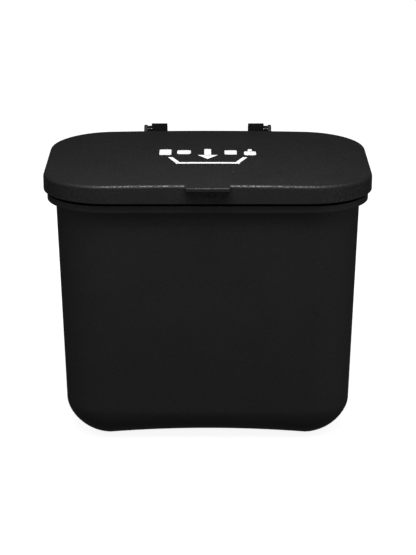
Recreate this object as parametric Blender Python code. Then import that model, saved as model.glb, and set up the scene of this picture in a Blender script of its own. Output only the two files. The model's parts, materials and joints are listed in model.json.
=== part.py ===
"""Hanging waste bin with a hinged lid.

A tapered tub with a bag ring on its rim and a rounded lid over it. The lid turns on
two short pins at the top of two hooked straps, which are screwed to bosses on the
tub's back wall. The bin hangs by the hooks, or stands on the flat ends of its arched
base.

Metres, +Z up, front towards -Y, left is -X. The origin is under the middle of the
whole object's box, on the plane that the bin stands on.
"""

import math

import bmesh
import bpy
from mathutils import Matrix, Vector

# Lid: outside size, plan corners and shell
LID_WIDTH = 0.3028
LID_DEPTH = 0.187
LID_TOP = 0.2643
LID_CROWN = 0.0026
LID_WALL = 0.0022
SKIRT_BOTTOM = 0.2464
CORNER_FRONT = (0.0617, 0.0517)
CORNER_REAR = (0.0559, 0.0537)
LID_EDGE_RADIUS = 0.0030
LOCATING_RIB_INSET = 0.0178
LOCATING_RIB_WALL = 0.0018
LOCATING_RIB_BOTTOM = 0.2500
TAB_WIDTH = 0.041
TAB_REACH = 0.009
TAB_THICKNESS = 0.0039
TAB_CORNER = 0.0022
TAB_BELOW_TOP = 0.0001

# Tub
WALL_INSET = 0.0110
DRAFT = 0.0259
TUB_WALL = 0.0022
FLOOR_WALL = 0.0026
FOOT_RADIUS = 0.0362
ARCH_RISE = 0.0042
ARCH_HALF = 0.0934
FOOT_CORNER_KEEP = 0.10
FOOT_FULLNESS = 1.2
FLANGE_INSET = 0.0057
FLANGE_TOP = 0.2413
FLANGE_WALL = 0.0018

# Bag ring, which stands on the tub's flange
RING_INSET = 0.0033
RING_LIP_BOTTOM = 0.2370
RING_LIP_WALL = 0.0020
RING_TOP = 0.2436
RING_PLATE = 0.0020
RING_EDGE = 0.0008
COLLAR_INSET = 0.0135
COLLAR_WALL = 0.0026
COLLAR_TOP = 0.2545
COLLAR_EDGE = 0.0007
COLLAR_FOOT = 0.2330
COLLAR_FOOT_INSET = 0.0144

# Hinge line and hinge ears on the lid
AXIS_BEHIND_LID = 0.00625
AXIS_Z = 0.2634
EAR_INNER_X = 0.0597
EAR_THICKNESS = 0.0032
EAR_RADIUS = 0.0045
EAR_ARC_START = math.radians(90)
EAR_ARC_SWEEP = math.radians(190)
EAR_TOP_FLAT = 0.0034
EAR_FOOT = 0.0090
EAR_ROOT_LOW = 0.0011
EAR_ROOT_HIGH = 0.00055
PIN_RADIUS = 0.00175
PIN_INNER_X = 0.0430
PIN_OUTER_X = 0.0626
PIN_CHAMFER = 0.0004
SPACER_RADIUS = 0.00275

# Hooked straps
STRAP_INNER_X = 0.0401
STRAP_WIDTH = 0.0155
STRAP_GAP = 0.0030
STRAP_THICKNESS = 0.0066
STRAP_BOTTOM = 0.0620
STRAP_TOP = 0.2686
STOP_GAP = 0.00495
STOP_BACK = 0.0080
STOP_TOP = 0.2640
STOP_OUTER_X = 0.0634
HOOK_TOP = 0.2495
HOOK_BRIDGE = 0.0040
HOOK_REACH = 0.0212
HOOK_LIP = 0.0040
HOOK_END = 0.2105
PAD_THICKNESS = 0.0012
DOOR_PAD_BOTTOM = 0.0660
DOOR_PAD_TOP = 0.0960
DOOR_PAD_POCKET = 0.0012
HOOK_PAD_BOTTOM = 0.2125
HOOK_PAD_TOP = 0.2385
PAD_SIDE = 0.0015

# Strap screws and the bosses that they bite into
SCREW_HEIGHTS = {"upper": 0.2000, "lower": 0.1120}
SCREW_HEAD_RADIUS = 0.0040
SCREW_HEAD_LENGTH = 0.0022
SCREW_RADIUS = 0.0019
SCREW_LENGTH = 0.0150
SCREW_TIP = 0.0016
SCREW_HEAD_RIM = 0.00015
BOSS_RADIUS = 0.0060
BOSS_FLOOR = 0.0022
BOSS_RIB_WALL = 0.0024
BOSS_RIB_BOTTOM = 0.1040
BOSS_RIB_TOP = 0.2290

# Lid bumpers
BUMPER_X = 0.070
BUMPER_RADIUS = 0.0025
BUMPER_EDGE = 0.0007
BUMPER_TOP = 0.2611
SOCKET_RADIUS = 0.0042
SOCKET_BOTTOM = 0.2570

GAP = 0.0003
CORNER_STEPS = 10
STRAIGHT_STEPS = 10
FOOT_STEPS = 8
EDGE_STEPS = 4
TAB_CORNER_STEPS = 4
EAR_STEPS = 12
ROUND_STEPS = 24
SMOOTH_ANGLE = math.radians(35)
BLACK = (0.016, 0.016, 0.017)
RUBBER_BLACK = (0.02, 0.02, 0.02)
STEEL = (0.30, 0.30, 0.31)
ZINC = (0.45, 0.45, 0.46)

# Places worked out from the sizes above
HALF_WIDTH = LID_WIDTH / 2
HALF_DEPTH = LID_DEPTH / 2
STRAP_FRONT_FROM_MIDDLE = HALF_DEPTH + STRAP_GAP
HOOK_BACK_FROM_MIDDLE = STRAP_FRONT_FROM_MIDDLE + STRAP_THICKNESS + HOOK_REACH + HOOK_LIP
LID_MIDDLE_Y = (HALF_DEPTH + TAB_REACH - HOOK_BACK_FROM_MIDDLE) / 2
LID_FRONT = LID_MIDDLE_Y - HALF_DEPTH
LID_REAR = LID_MIDDLE_Y + HALF_DEPTH
AXIS_Y = LID_REAR + AXIS_BEHIND_LID
STRAP_FRONT = LID_MIDDLE_Y + STRAP_FRONT_FROM_MIDDLE
STRAP_BACK = STRAP_FRONT + STRAP_THICKNESS
LIP_FRONT = STRAP_BACK + HOOK_REACH
STRAP_MIDDLE_X = STRAP_INNER_X + STRAP_WIDTH / 2
SIDES = {"left": -1, "right": 1}


def material(name, colour, roughness, metallic=0.0):
    """A plain Principled material."""
    made = bpy.data.materials.new(name)
    made.use_nodes = True
    shader = made.node_tree.nodes["Principled BSDF"]
    shader.inputs["Base Color"].default_value = (*colour, 1.0)
    shader.inputs["Roughness"].default_value = roughness
    shader.inputs["Metallic"].default_value = metallic
    return made


def edge_run(half_x, corner_x):
    """Points along one long edge, left to right: x, and how far it has come out."""
    straight = half_x - corner_x
    run = []
    for step in range(CORNER_STEPS):
        angle = math.pi / 2 * step / CORNER_STEPS
        run.append((-straight - corner_x * math.cos(angle), math.sin(angle)))
    for step in range(STRAIGHT_STEPS + 1):
        run.append((straight * (2 * step / STRAIGHT_STEPS - 1), 1.0))
    for step in range(CORNER_STEPS - 1, -1, -1):
        angle = math.pi / 2 * step / CORNER_STEPS
        run.append((straight + corner_x * math.cos(angle), math.sin(angle)))
    return run


def oblong(half_x, half_y, front_corner, rear_corner):
    """A rounded oblong in plan: its front run towards +X, then its rear run back.

    Each corner is a quarter of an ellipse, given by its reach in X and in Y.
    """
    front = [
        (x, LID_MIDDLE_Y - half_y + front_corner[1] * (1 - out))
        for x, out in edge_run(half_x, front_corner[0])
    ]
    rear = [
        (x, LID_MIDDLE_Y + half_y - rear_corner[1] * (1 - out))
        for x, out in reversed(edge_run(half_x, rear_corner[0]))
    ]
    return front + rear


def smaller_corners(inset, keep=1.0):
    """The lid's plan corners inside an inset, with a share of them kept."""
    return [
        [(reach - inset) * keep for reach in corner] for corner in (CORNER_FRONT, CORNER_REAR)
    ]


def lid_plan(inset):
    """The lid's outline in plan, moved inwards by inset."""
    return oblong(HALF_WIDTH - inset, HALF_DEPTH - inset, *smaller_corners(inset))


def crown_fall(x):
    """How far the lid's top has fallen at x."""
    return LID_CROWN * (x / HALF_WIDTH) ** 2


def level_ring(inset, z):
    """A ring at one height."""
    return [(x, y, z) for x, y in lid_plan(inset)]


def crowned_ring(inset, depth):
    """A ring that follows the lid's crowned top, depth below it."""
    return [(x, y, LID_TOP - depth - crown_fall(x)) for x, y in lid_plan(inset)]


def arch_lift(x):
    """How far the arched base is above the floor at x."""
    return ARCH_RISE * max(0.0, 1 - (x / ARCH_HALF) ** 2)


def foot_ring(angle, shell):
    """A ring of the tub's rounded foot, shell inside its outer face.

    The angle runs from 0 on the base to a quarter turn where the wall starts. The
    plan corners shrink towards the base, so that each lower corner is like a ball.
    """
    radius = FOOT_RADIUS - shell
    floor = FLOOR_WALL if shell else 0.0
    tuck = radius * (1 - math.sin(angle) ** FOOT_FULLNESS)
    z = floor + radius * (1 - math.cos(angle) ** FOOT_FULLNESS)
    inset = wall_inset(z) + shell
    keep = 1 - (tuck / radius) * (1 - FOOT_CORNER_KEEP)
    corners = smaller_corners(inset, keep)
    plan = oblong(HALF_WIDTH - inset - tuck, HALF_DEPTH - inset - tuck, *corners)
    return [(x, y, z + arch_lift(x) * math.cos(angle)) for x, y in plan]


def wall_inset(z):
    """How far the tub's outer wall is inside the lid's outline at height z."""
    return WALL_INSET + DRAFT * (FLANGE_TOP - z)


def circle(centre, axis, radius):
    """A ring of points around a line along X, Y or Z."""
    ring = []
    for step in range(ROUND_STEPS):
        angle = 2 * math.pi * step / ROUND_STEPS
        point = Vector(centre)
        point["XYZ".index(axis) - 2] += radius * math.cos(angle)
        point["XYZ".index(axis) - 1] += radius * math.sin(angle)
        ring.append(point)
    return ring


def finish_mesh(name, bm, look):
    """Turn a closed bmesh into a named object."""
    bmesh.ops.recalc_face_normals(bm, faces=bm.faces)
    mesh = bpy.data.meshes.new(name)
    bm.to_mesh(mesh)
    bm.free()
    mesh.shade_smooth()
    mesh.set_sharp_from_angle(angle=SMOOTH_ANGLE)
    made = bpy.data.objects.new(name, mesh)
    bpy.context.scene.collection.objects.link(made)
    mesh.materials.append(look)
    return made


def cap_plan(bm, ring):
    """Close a plan ring with strips from its front run to its rear run."""
    half = len(ring) // 2
    for step in range(half - 1):
        bm.faces.new((ring[step], ring[step + 1], ring[-step - 2], ring[-step - 1]))


def bridge(bm, lower, upper):
    """Join two rings of the same length with a band of faces."""
    count = len(lower)
    for step in range(count):
        after = (step + 1) % count
        bm.faces.new((lower[step], lower[after], upper[after], upper[step]))


def plan_shell(name, rings, look):
    """A closed body from plan rings; the first and the last are capped."""
    bm = bmesh.new()
    rows = [[bm.verts.new(point) for point in ring] for ring in rings]
    for lower, upper in zip(rows, rows[1:]):
        bridge(bm, lower, upper)
    cap_plan(bm, rows[0])
    cap_plan(bm, rows[-1])
    return finish_mesh(name, bm, look)


def closed_band(name, rings, look):
    """A closed body from rings whose last joins the first again."""
    bm = bmesh.new()
    rows = [[bm.verts.new(point) for point in ring] for ring in rings]
    for lower, upper in zip(rows, rows[1:] + rows[:1]):
        bridge(bm, lower, upper)
    return finish_mesh(name, bm, look)


def turned(name, axis, centre, stations, look):
    """A round solid: stations are (place along the axis, radius)."""
    bm = bmesh.new()
    rows = []
    for along, radius in stations:
        middle = Vector(centre)
        middle["XYZ".index(axis)] = along
        rows.append([bm.verts.new(point) for point in circle(middle, axis, radius)])
    for lower, upper in zip(rows, rows[1:]):
        bridge(bm, lower, upper)
    bm.faces.new(rows[0])
    bm.faces.new(rows[-1])
    return finish_mesh(name, bm, look)


def plate(name, start_x, end_x, outline, look):
    """A flat outline in Y and Z, given its width along X."""
    bm = bmesh.new()
    rows = [[bm.verts.new((x, y, z)) for y, z in outline] for x in (start_x, end_x)]
    bridge(bm, rows[0], rows[1])
    bm.faces.new(rows[0])
    bm.faces.new(rows[1])
    return finish_mesh(name, bm, look)


def box(name, low, high, look, edge=0.0):
    """A block between two corners, with its edges broken where edge is given."""
    bm = bmesh.new()
    bmesh.ops.create_cube(bm, size=1.0)
    size = Vector(high) - Vector(low)
    middle = (Vector(high) + Vector(low)) / 2
    bmesh.ops.scale(bm, vec=size, verts=bm.verts)
    bmesh.ops.translate(bm, vec=middle, verts=bm.verts)
    if edge:
        bmesh.ops.bevel(bm, geom=bm.edges[:], offset=edge, segments=1, affect="EDGES")
    return finish_mesh(name, bm, look)


def combine(target, tool, operation):
    """Join a tool to the target or cut it away, and remove the tool."""
    modifier = target.modifiers.new(tool.name, "BOOLEAN")
    modifier.operation = operation
    modifier.solver = "EXACT"
    modifier.object = tool
    bpy.context.view_layer.objects.active = target
    bpy.ops.object.modifier_apply(modifier=modifier.name)
    bpy.data.objects.remove(tool)


def mirrored_span(side, inner, outer):
    """The low and high X of a span on one side."""
    return sorted((SIDES[side] * inner, SIDES[side] * outer))


def hang_from(pivot, piece):
    """Give a moving piece its pivot's place as its origin."""
    piece.data.transform(Matrix.Translation(-pivot.location))
    piece.parent = pivot


def make_tub(look):
    """Tub with a rounded foot, arched base and an outward rim flange."""
    angles = [math.pi / 2 * step / FOOT_STEPS for step in range(FOOT_STEPS + 1)]
    flange_bottom = FLANGE_TOP - FLANGE_WALL
    rings = [foot_ring(angle, 0.0) for angle in angles]
    rings.append(level_ring(wall_inset(flange_bottom), flange_bottom))
    rings.append(level_ring(FLANGE_INSET, flange_bottom))
    rings.append(level_ring(FLANGE_INSET, FLANGE_TOP))
    rings.append(level_ring(wall_inset(FLANGE_TOP) + TUB_WALL, FLANGE_TOP))
    rings += [foot_ring(angle, TUB_WALL) for angle in reversed(angles)]
    tub = plan_shell("bin_body", rings, look)
    for side in SIDES:
        add_strap_seat(tub, side, look)
    return tub


def add_strap_seat(tub, side, look):
    """Two screw bosses and the upright rib between them, on the tub's back wall."""
    middle_x = SIDES[side] * STRAP_MIDDLE_X
    seat_back = STRAP_FRONT - GAP
    rib_start = LID_REAR - wall_inset(BOSS_RIB_BOTTOM) - TUB_WALL / 2
    low = (middle_x - BOSS_RIB_WALL / 2, rib_start, BOSS_RIB_BOTTOM)
    high = (middle_x + BOSS_RIB_WALL / 2, seat_back, BOSS_RIB_TOP)
    combine(tub, leaning_rib(low, high, look), "UNION")
    for height in SCREW_HEIGHTS.values():
        wall_y = LID_REAR - wall_inset(height)
        centre = (middle_x, 0.0, height)
        boss = [(wall_y - TUB_WALL / 2, BOSS_RADIUS), (seat_back, BOSS_RADIUS)]
        combine(tub, turned("boss", "Y", centre, boss, look), "UNION")
        hole_radius = SCREW_RADIUS + GAP
        hole_end = STRAP_BACK - SCREW_LENGTH - BOSS_FLOOR / 2
        hole = [(hole_end, hole_radius), (STRAP_BACK, hole_radius)]
        combine(tub, turned("pilot", "Y", centre, hole, look), "DIFFERENCE")


def leaning_rib(low, high, look):
    """An upright rib whose inner edge follows the drafted back wall."""
    lean = DRAFT * (high[2] - low[2])
    outline = [
        (low[1], low[2]),
        (high[1], low[2]),
        (high[1], high[2]),
        (low[1] + lean, high[2]),
    ]
    return plate("rib", low[0], high[0], outline, look)


def make_bag_ring(look):
    """Ring that covers the rim: outer lip, top plate, collar and inner foot."""
    lip_inner = RING_INSET + RING_LIP_WALL
    collar_inner = COLLAR_INSET + COLLAR_WALL
    plate_bottom = RING_TOP - RING_PLATE
    section = [
        (lip_inner, RING_LIP_BOTTOM),
        (RING_INSET, RING_LIP_BOTTOM),
        (RING_INSET, RING_TOP - RING_EDGE),
        (RING_INSET + RING_EDGE, RING_TOP),
        (COLLAR_INSET, RING_TOP),
        (COLLAR_INSET, COLLAR_TOP - COLLAR_EDGE),
        (COLLAR_INSET + COLLAR_EDGE, COLLAR_TOP),
        (collar_inner - COLLAR_EDGE, COLLAR_TOP),
        (collar_inner, COLLAR_TOP - COLLAR_EDGE),
        (collar_inner, COLLAR_FOOT),
        (COLLAR_FOOT_INSET, COLLAR_FOOT),
        (COLLAR_FOOT_INSET, plate_bottom),
        (lip_inner, plate_bottom),
    ]
    return closed_band("bag_ring", [level_ring(inset, z) for inset, z in section], look)


def make_lid(look):
    """Lid shell with its locating rib, tab, bumper sockets and hinge ears."""
    rib_inner = LOCATING_RIB_INSET + LOCATING_RIB_WALL
    rings = [
        crowned_ring(rib_inner, LID_WALL),
        level_ring(rib_inner, LOCATING_RIB_BOTTOM),
        level_ring(LOCATING_RIB_INSET, LOCATING_RIB_BOTTOM),
        crowned_ring(LOCATING_RIB_INSET, LID_WALL),
        crowned_ring(LID_WALL, LID_WALL),
        level_ring(LID_WALL, SKIRT_BOTTOM),
        level_ring(0.0, SKIRT_BOTTOM),
    ]
    for step in range(EDGE_STEPS + 1):
        angle = math.pi / 2 * step / EDGE_STEPS
        inset = LID_EDGE_RADIUS * (1 - math.cos(angle))
        depth = LID_EDGE_RADIUS * (1 - math.sin(angle))
        rings.append(crowned_ring(inset, depth))
    lid = plan_shell("lid_shell", rings, look)
    add_tab(lid, look)
    for side in SIDES:
        add_ear(lid, side, look)
        for row in (LID_FRONT, LID_REAR):
            add_socket(lid, side, row, look)
    return lid


def add_tab(lid, look):
    """Lift tab at the front, flush with the lid's top."""
    back = LID_FRONT + LID_EDGE_RADIUS
    front = LID_FRONT - TAB_REACH
    bm = bmesh.new()
    bmesh.ops.create_cube(bm, size=1.0)
    bmesh.ops.scale(bm, vec=(TAB_WIDTH, back - front, TAB_THICKNESS), verts=bm.verts)
    middle = (0.0, (front + back) / 2, LID_TOP - TAB_BELOW_TOP - TAB_THICKNESS / 2)
    bmesh.ops.translate(bm, vec=middle, verts=bm.verts)
    upright = [
        edge for edge in bm.edges
        if abs(edge.verts[0].co.z - edge.verts[1].co.z) > TAB_THICKNESS / 2
        and edge.verts[0].co.y < middle[1]
    ]
    bmesh.ops.bevel(
        bm, geom=upright, offset=TAB_CORNER, segments=TAB_CORNER_STEPS, profile=0.5, affect="EDGES"
    )
    combine(lid, finish_mesh("tab", bm, look), "UNION")


def ear_outline():
    """Ear profile about the hinge line: round end, foot on the skirt, root in the lid."""
    skirt_y = -AXIS_BEHIND_LID - LID_WALL / 2
    root_y = skirt_y - LID_WALL
    points = []
    for step in range(EAR_STEPS + 1):
        angle = EAR_ARC_START - EAR_ARC_SWEEP * step / EAR_STEPS
        points.append((EAR_RADIUS * math.cos(angle), EAR_RADIUS * math.sin(angle)))
    points += [
        (skirt_y, -EAR_FOOT),
        (skirt_y, -LID_WALL),
        (root_y, -EAR_ROOT_LOW),
        (root_y, -EAR_ROOT_HIGH),
        (-EAR_TOP_FLAT, EAR_RADIUS),
    ]
    return [(AXIS_Y + y, AXIS_Z + z) for y, z in points]


def add_ear(lid, side, look):
    """Hinge ear with its pin hole."""
    low, high = mirrored_span(side, EAR_INNER_X, EAR_INNER_X + EAR_THICKNESS)
    combine(lid, plate("ear", low, high, ear_outline(), look), "UNION")
    hole_radius = PIN_RADIUS + GAP
    hole = [(low - GAP, hole_radius), (high + GAP, hole_radius)]
    combine(lid, turned("ear_hole", "X", (0.0, AXIS_Y, AXIS_Z), hole, look), "DIFFERENCE")


def bumper_place(side, edge):
    """Plan centre of a bumper over the collar, near the lid's front or rear edge."""
    inwards = COLLAR_INSET + COLLAR_WALL / 2
    y = edge + inwards if edge < LID_MIDDLE_Y else edge - inwards
    return (SIDES[side] * BUMPER_X, y, 0.0)


def add_socket(lid, side, edge, look):
    """Short tube under the lid that holds a bumper."""
    centre = bumper_place(side, edge)
    socket = [(SOCKET_BOTTOM, SOCKET_RADIUS), (BUMPER_TOP + LID_WALL / 2, SOCKET_RADIUS)]
    combine(lid, turned("socket", "Z", centre, socket, look), "UNION")
    hole_radius = BUMPER_RADIUS + GAP
    hole = [(SOCKET_BOTTOM - GAP, hole_radius), (BUMPER_TOP + GAP, hole_radius)]
    combine(lid, turned("socket_hole", "Z", centre, hole, look), "DIFFERENCE")


def strap_outline():
    """Strap profile: hinge block, hook over the back and the pad pocket below."""
    stop_back = STRAP_BACK + STOP_BACK - GAP
    lip_back = LIP_FRONT + HOOK_LIP
    bridge_bottom = HOOK_TOP - HOOK_BRIDGE
    pocket = STRAP_BACK - DOOR_PAD_POCKET
    return [
        (STRAP_FRONT, STRAP_BOTTOM),
        (STRAP_FRONT, STRAP_TOP),
        (STRAP_BACK, STRAP_TOP),
        (STRAP_BACK, STOP_TOP),
        (stop_back, STOP_TOP),
        (stop_back, HOOK_TOP),
        (lip_back, HOOK_TOP),
        (lip_back, HOOK_END),
        (LIP_FRONT, HOOK_END),
        (LIP_FRONT, bridge_bottom),
        (STRAP_BACK, bridge_bottom),
        (STRAP_BACK, DOOR_PAD_TOP + GAP),
        (pocket, DOOR_PAD_TOP + GAP),
        (pocket, DOOR_PAD_BOTTOM - GAP),
        (STRAP_BACK, DOOR_PAD_BOTTOM - GAP),
        (STRAP_BACK, STRAP_BOTTOM),
    ]


def make_strap(side, look):
    """Hooked strap with its hinge block, lid stop, pin hole and screw holes."""
    low, high = mirrored_span(side, STRAP_INNER_X, STRAP_INNER_X + STRAP_WIDTH)
    strap = plate(f"strap_{side}", low, high, strap_outline(), look)
    stop_low, stop_high = mirrored_span(side, STRAP_INNER_X + STRAP_WIDTH / 2, STOP_OUTER_X)
    stop_start = (stop_low, AXIS_Y + STOP_GAP, HOOK_TOP - HOOK_BRIDGE)
    stop_end = (stop_high, STRAP_BACK + STOP_BACK, STOP_TOP)
    combine(strap, box("stop", stop_start, stop_end, look), "UNION")
    hole_radius = PIN_RADIUS + GAP
    hole_low, hole_high = mirrored_span(side, PIN_INNER_X - GAP, EAR_INNER_X)
    hole = [(hole_low, hole_radius), (hole_high, hole_radius)]
    combine(strap, turned("pin_hole", "X", (0.0, AXIS_Y, AXIS_Z), hole, look), "DIFFERENCE")
    for height in SCREW_HEIGHTS.values():
        centre = (SIDES[side] * STRAP_MIDDLE_X, 0.0, height)
        head_start = STRAP_BACK - GAP - SCREW_HEAD_LENGTH
        cut = [
            (STRAP_FRONT - GAP, SCREW_RADIUS + GAP),
            (head_start, SCREW_RADIUS + GAP),
            (STRAP_BACK, SCREW_HEAD_RADIUS + GAP),
            (STRAP_BACK + GAP, SCREW_HEAD_RADIUS + GAP),
        ]
        combine(strap, turned("screw_hole", "Y", centre, cut, look), "DIFFERENCE")
    return strap


def make_strap_screw(side, level, look):
    """Countersunk screw through the strap into its boss."""
    head = STRAP_BACK - GAP
    tip = STRAP_BACK - SCREW_LENGTH
    stations = [
        (head, SCREW_HEAD_RADIUS - SCREW_HEAD_RIM),
        (head - SCREW_HEAD_RIM, SCREW_HEAD_RADIUS - SCREW_HEAD_RIM),
        (head - SCREW_HEAD_LENGTH, SCREW_RADIUS),
        (tip + SCREW_TIP, SCREW_RADIUS),
        (tip, SCREW_RADIUS / 2),
    ]
    centre = (SIDES[side] * STRAP_MIDDLE_X, 0.0, SCREW_HEIGHTS[level])
    return turned(f"strap_screw_{level}_{side}", "Y", centre, stations, look)


def make_hinge_pin(side, look):
    """Plain pin from the strap's block out into the lid's ear."""
    low, high = mirrored_span(side, PIN_INNER_X, PIN_OUTER_X)
    stations = [
        (low, PIN_RADIUS - PIN_CHAMFER),
        (low + PIN_CHAMFER, PIN_RADIUS),
        (high - PIN_CHAMFER, PIN_RADIUS),
        (high, PIN_RADIUS - PIN_CHAMFER),
    ]
    return turned(f"hinge_pin_{side}", "X", (0.0, AXIS_Y, AXIS_Z), stations, look)


def make_pin_spacer(side, look):
    """Sleeve on the pin that keeps the ear off the strap's block."""
    block_face = STRAP_INNER_X + STRAP_WIDTH
    low, high = mirrored_span(side, block_face + GAP, EAR_INNER_X - GAP)
    bore = PIN_RADIUS + GAP
    section = [(low, bore), (low, SPACER_RADIUS), (high, SPACER_RADIUS), (high, bore)]
    rings = [circle((along, AXIS_Y, AXIS_Z), "X", radius) for along, radius in section]
    return closed_band(f"pin_spacer_{side}", rings, look)


def make_door_pad(side, look):
    """Soft pad in the strap's pocket, which bears on the door."""
    low, high = mirrored_span(side, STRAP_INNER_X + PAD_SIDE, STRAP_INNER_X + STRAP_WIDTH - PAD_SIDE)
    front = STRAP_BACK - DOOR_PAD_POCKET + GAP
    start = (low, front, DOOR_PAD_BOTTOM)
    end = (high, front + PAD_THICKNESS, DOOR_PAD_TOP)
    return box(f"door_pad_{side}", start, end, look, GAP)


def make_hook_pad(side, look):
    """Soft strip inside the hook's lip."""
    low, high = mirrored_span(side, STRAP_INNER_X + PAD_SIDE, STRAP_INNER_X + STRAP_WIDTH - PAD_SIDE)
    back = LIP_FRONT - GAP
    start = (low, back - PAD_THICKNESS, HOOK_PAD_BOTTOM)
    end = (high, back, HOOK_PAD_TOP)
    return box(f"hook_pad_{side}", start, end, look, GAP)


def make_bumper(side, row, edge, look):
    """Soft peg under the lid that lands on the collar."""
    foot = COLLAR_TOP + GAP
    stations = [
        (foot, BUMPER_RADIUS - BUMPER_EDGE),
        (foot + BUMPER_EDGE, BUMPER_RADIUS),
        (BUMPER_TOP, BUMPER_RADIUS),
    ]
    return turned(f"lid_bumper_{row}_{side}", "Z", bumper_place(side, edge), stations, look)


def build():
    """Make every piece of the bin."""
    for old in list(bpy.data.objects):
        bpy.data.objects.remove(old)
    pivot = bpy.data.objects.new("lid_hinge", None)
    bpy.context.scene.collection.objects.link(pivot)
    pivot.location = (0.0, AXIS_Y, AXIS_Z)

    make_tub(material("tub_plastic", BLACK, 0.55))
    make_bag_ring(material("ring_plastic", BLACK, 0.5))
    moving = [make_lid(material("lid_plastic", BLACK, 0.5))]
    for side in SIDES:
        make_strap(side, material(f"strap_plastic_{side}", BLACK, 0.5))
        make_hinge_pin(side, material(f"pin_steel_{side}", STEEL, 0.35, 1.0))
        make_pin_spacer(side, material(f"spacer_plastic_{side}", BLACK, 0.45))
        make_door_pad(side, material(f"door_pad_rubber_{side}", RUBBER_BLACK, 0.85))
        make_hook_pad(side, material(f"hook_pad_rubber_{side}", RUBBER_BLACK, 0.85))
        for level in SCREW_HEIGHTS:
            zinc = material(f"screw_zinc_{level}_{side}", ZINC, 0.35, 1.0)
            make_strap_screw(side, level, zinc)
        for row, edge in (("front", LID_FRONT), ("rear", LID_REAR)):
            rubber = material(f"bumper_rubber_{row}_{side}", RUBBER_BLACK, 0.8)
            moving.append(make_bumper(side, row, edge, rubber))
    for piece in moving:
        hang_from(pivot, piece)


build()
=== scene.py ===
# %% [markdown]
# # A hanging waste bin with a hinged lid
#
# The bin is a tapered black plastic tub. A loose ring sits on its rim and holds the bag,
# and a rounded lid turns on two short pins at the top of two hooked straps.
#
# This notebook builds the look of the bin around a fixed mechanical model. The model says
# where each part is and how the lid turns, so we load it first and never move it. Then we
# make each visible piece with the tools that a modeller uses by hand, and give it a finish.

import json
import math
from collections import namedtuple

import bmesh
import bpy
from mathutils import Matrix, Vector

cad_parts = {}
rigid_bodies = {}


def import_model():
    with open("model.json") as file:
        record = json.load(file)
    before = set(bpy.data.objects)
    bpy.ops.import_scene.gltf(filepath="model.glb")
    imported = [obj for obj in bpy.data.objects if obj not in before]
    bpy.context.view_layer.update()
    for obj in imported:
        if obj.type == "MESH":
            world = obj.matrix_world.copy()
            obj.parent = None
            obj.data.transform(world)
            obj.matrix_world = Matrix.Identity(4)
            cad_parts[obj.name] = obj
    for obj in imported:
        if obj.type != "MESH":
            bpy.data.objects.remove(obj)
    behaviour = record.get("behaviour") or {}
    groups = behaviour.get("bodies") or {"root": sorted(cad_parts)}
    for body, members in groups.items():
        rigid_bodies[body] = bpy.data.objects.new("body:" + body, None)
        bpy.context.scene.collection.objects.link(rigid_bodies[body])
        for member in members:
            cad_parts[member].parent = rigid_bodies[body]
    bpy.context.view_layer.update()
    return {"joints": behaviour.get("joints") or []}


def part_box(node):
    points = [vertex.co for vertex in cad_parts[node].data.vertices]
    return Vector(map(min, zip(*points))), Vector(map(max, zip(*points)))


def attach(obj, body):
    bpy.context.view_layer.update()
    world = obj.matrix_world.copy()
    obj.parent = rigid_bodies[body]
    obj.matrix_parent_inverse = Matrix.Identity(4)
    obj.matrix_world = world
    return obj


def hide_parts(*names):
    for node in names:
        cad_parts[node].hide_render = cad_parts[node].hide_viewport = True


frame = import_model()
hinge = frame["joints"][0]

# %% [markdown]
# ## Sizes
#
# All lengths are in metres. What the model can tell us is read from its parts' boxes. The
# rest are a mould maker's drawing sizes: how round the corners are, how thick each wall is.
#
# The lid, the ring and the tub share one outline in plan, a rounded oblong. It only moves
# inwards from part to part, so most sizes below are an inset from the lid's outer edge.

# %% Sizes of the shared outline
TAB_REACH = 0.009
lid_low, lid_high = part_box("lid_shell")
HALF_WIDTH = lid_high.x
HALF_DEPTH = 0.0935
MIDDLE_Y = lid_low.y + TAB_REACH + HALF_DEPTH
CORNERS = {"front": (0.0617, 0.0517), "rear": (0.0559, 0.0537)}
AXIS_Y, AXIS_Z = hinge["pos_m"][1:]
CORNER_STEPS = 18
STRAIGHT_STEPS = 16
SIDES = {"left": -1, "right": 1}
print(f"outline {2 * HALF_WIDTH:.4f} by {2 * HALF_DEPTH:.4f} m, hinge at y {AXIS_Y}, z {AXIS_Z}")

# %% [markdown]
# ## Working by hand, in code
#
# Blender's operators act on whatever is selected. By hand we click; here we select by
# place. These helpers keep one piece active, pick its corners, edges or faces by a test
# on where they are, and move or scale what is picked.


# %% Selecting and moving
def only(piece):
    """Make one piece the only selected and the active object."""
    bpy.ops.object.select_all(action="DESELECT")
    piece.select_set(True)
    bpy.context.view_layer.objects.active = piece
    return piece


def open_edit(piece):
    """Enter edit mode on one piece."""
    only(piece)
    bpy.ops.object.mode_set(mode="EDIT")


def leave_edit():
    """Go back to object mode."""
    bpy.ops.object.mode_set(mode="OBJECT")


def pick_all():
    """In edit mode, select everything."""
    bpy.ops.mesh.select_all(action="SELECT")


def new_piece(name, add, **settings):
    """Add a primitive with nothing else selected, and open it in edit mode."""
    bpy.ops.object.select_all(action="DESELECT")
    add(**settings)
    piece = bpy.context.object
    piece.name = piece.data.name = name
    bpy.ops.object.transform_apply(location=True, rotation=True, scale=True)
    bpy.ops.object.mode_set(mode="EDIT")
    return piece


# %% [markdown]
# Picking is always by a test on place, such as "every edge at the front". The test gets
# the middle of each vertex, edge or face. Where places would be clumsy, as in a hoop that
# has just been extruded, the vertices' own numbers are used.


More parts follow.
